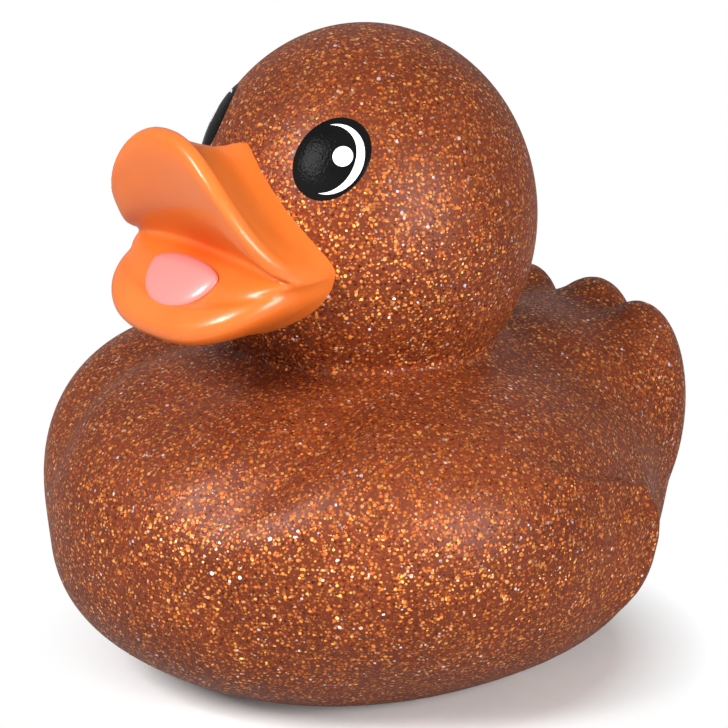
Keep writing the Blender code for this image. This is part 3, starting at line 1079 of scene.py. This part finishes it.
# %% Light the surroundings
CAMERA_AZIMUTH = 51.0
CAMERA_ELEVATION = 18.0
azimuth, elevation = math.radians(CAMERA_AZIMUTH), math.radians(CAMERA_ELEVATION)
towards_camera = Vector((
    math.sin(azimuth) * math.cos(elevation), -math.cos(azimuth) * math.cos(elevation), math.sin(elevation),
))
to_the_right = Vector((math.cos(azimuth), math.sin(azimuth), 0))
MIRRORED_BEHIND_DUCK = 0.40
MIRRORED_AT_CAMERA = 0.12
SOFT_AWAY_FROM_LAMP = 0.10
SOFT_AT_LAMP = 0.66


def from_duck(forward, right, up):
    """A place seen from the duck: towards the camera, to the camera's right and up."""
    return forward * towards_camera + right * to_the_right + Vector((0, 0, up))


world = bpy.data.worlds.new("studio")
bpy.context.scene.world = world
world.use_nodes = True
studio = world.node_tree
sky = studio.nodes["Background"]
sky.inputs["Color"].default_value = (1, 1, 1, 1)
direction = add(studio, "ShaderNodeTexCoord").outputs["Generated"]
facing_camera = arithmetic(studio, "DOT_PRODUCT", direction, towards_camera, "ShaderNodeVectorMath")
camera_side = add(
    studio, "ShaderNodeMapRange", From_Min=-0.35, From_Max=0.75,
    To_Min=MIRRORED_BEHIND_DUCK, To_Max=MIRRORED_AT_CAMERA,
)
studio.links.new(facing_camera, camera_side.inputs["Value"])
path = add(studio, "ShaderNodeLightPath")
lamp_side = from_duck(1, -0.5, 0.1).normalized()
facing_lamp = arithmetic(studio, "DOT_PRODUCT", direction, lamp_side, "ShaderNodeVectorMath")
soft_side = add(
    studio, "ShaderNodeMapRange", From_Min=-0.6, From_Max=0.8,
    To_Min=SOFT_AWAY_FROM_LAMP, To_Max=SOFT_AT_LAMP,
)
studio.links.new(facing_lamp, soft_side.inputs["Value"])
lit = add(studio, "ShaderNodeMix")
studio.links.new(path.outputs["Is Glossy Ray"], lit.inputs["Factor"])
studio.links.new(soft_side.outputs["Result"], lit.inputs["A"])
studio.links.new(camera_side.outputs["Result"], lit.inputs["B"])
strength = arithmetic(studio, "MAXIMUM", lit.outputs["Result"], path.outputs["Is Camera Ray"])
studio.links.new(strength, sky.inputs["Strength"])
print("surroundings lit, soft light from", [round(part, 2) for part in lamp_side])

# %% [markdown]
# The main lamp is a soft box above the camera's left shoulder. It draws the broad sheen on the breast and the
# gloss on the bill. A weaker one, low on the right, opens the shadows there.

# %% Set up the lamps
LAMPS_AIM = Vector((0, 0, 0.04))


def soft_lamp(name, place, side, watts):
    """A square lamp that faces the duck."""
    light = bpy.data.lights.new(name, "AREA")
    light.size = side
    light.energy = watts
    lamp = bpy.data.objects.new(name, light)
    bpy.context.scene.collection.objects.link(lamp)
    lamp.location = place
    lamp.rotation_euler = (LAMPS_AIM - place).to_track_quat("-Z", "Y").to_euler()
    return lamp


key = soft_lamp("key", from_duck(0.40, -0.44, 0.34), side=0.26, watts=5.8)
fill = soft_lamp("fill", from_duck(0.46, 0.34, 0.04), side=0.30, watts=3.6)
print("lamps at", [[round(part, 2) for part in lamp.location] for lamp in (key, fill)])

# %% [markdown]
# The photograph was taken from the duck's front left, a little from above, with a long lens: lines that run
# into the depth hardly draw together. The lens follows from the distance and the width of what is seen.

# %% Set up the camera
CAMERA_DISTANCE = 0.55
FRAME_WIDTH = 0.091
SENSOR_MM = 36.0
AIM = Vector((0, -0.0006, 0.0378))
target = CENTRING @ AIM
lens = bpy.data.cameras.new("camera")
lens.sensor_width = SENSOR_MM
lens.lens = SENSOR_MM * CAMERA_DISTANCE / FRAME_WIDTH
camera = bpy.data.objects.new("camera", lens)
bpy.context.scene.collection.objects.link(camera)
camera.location = target + towards_camera * CAMERA_DISTANCE
camera.rotation_euler = (-towards_camera).to_track_quat("-Z", "Y").to_euler()
bpy.context.scene.camera = camera
bpy.context.scene.view_settings.view_transform = "Standard"
print("lens", round(lens.lens, 1), "mm")

# %% [markdown]
# ## The part's size
# The look mustn't change the object's size. The CAD part's box is printed here.

# %% Print the part's box
print("part box", [[round(1000 * v, 2) for v in corner] for corner in part_box])
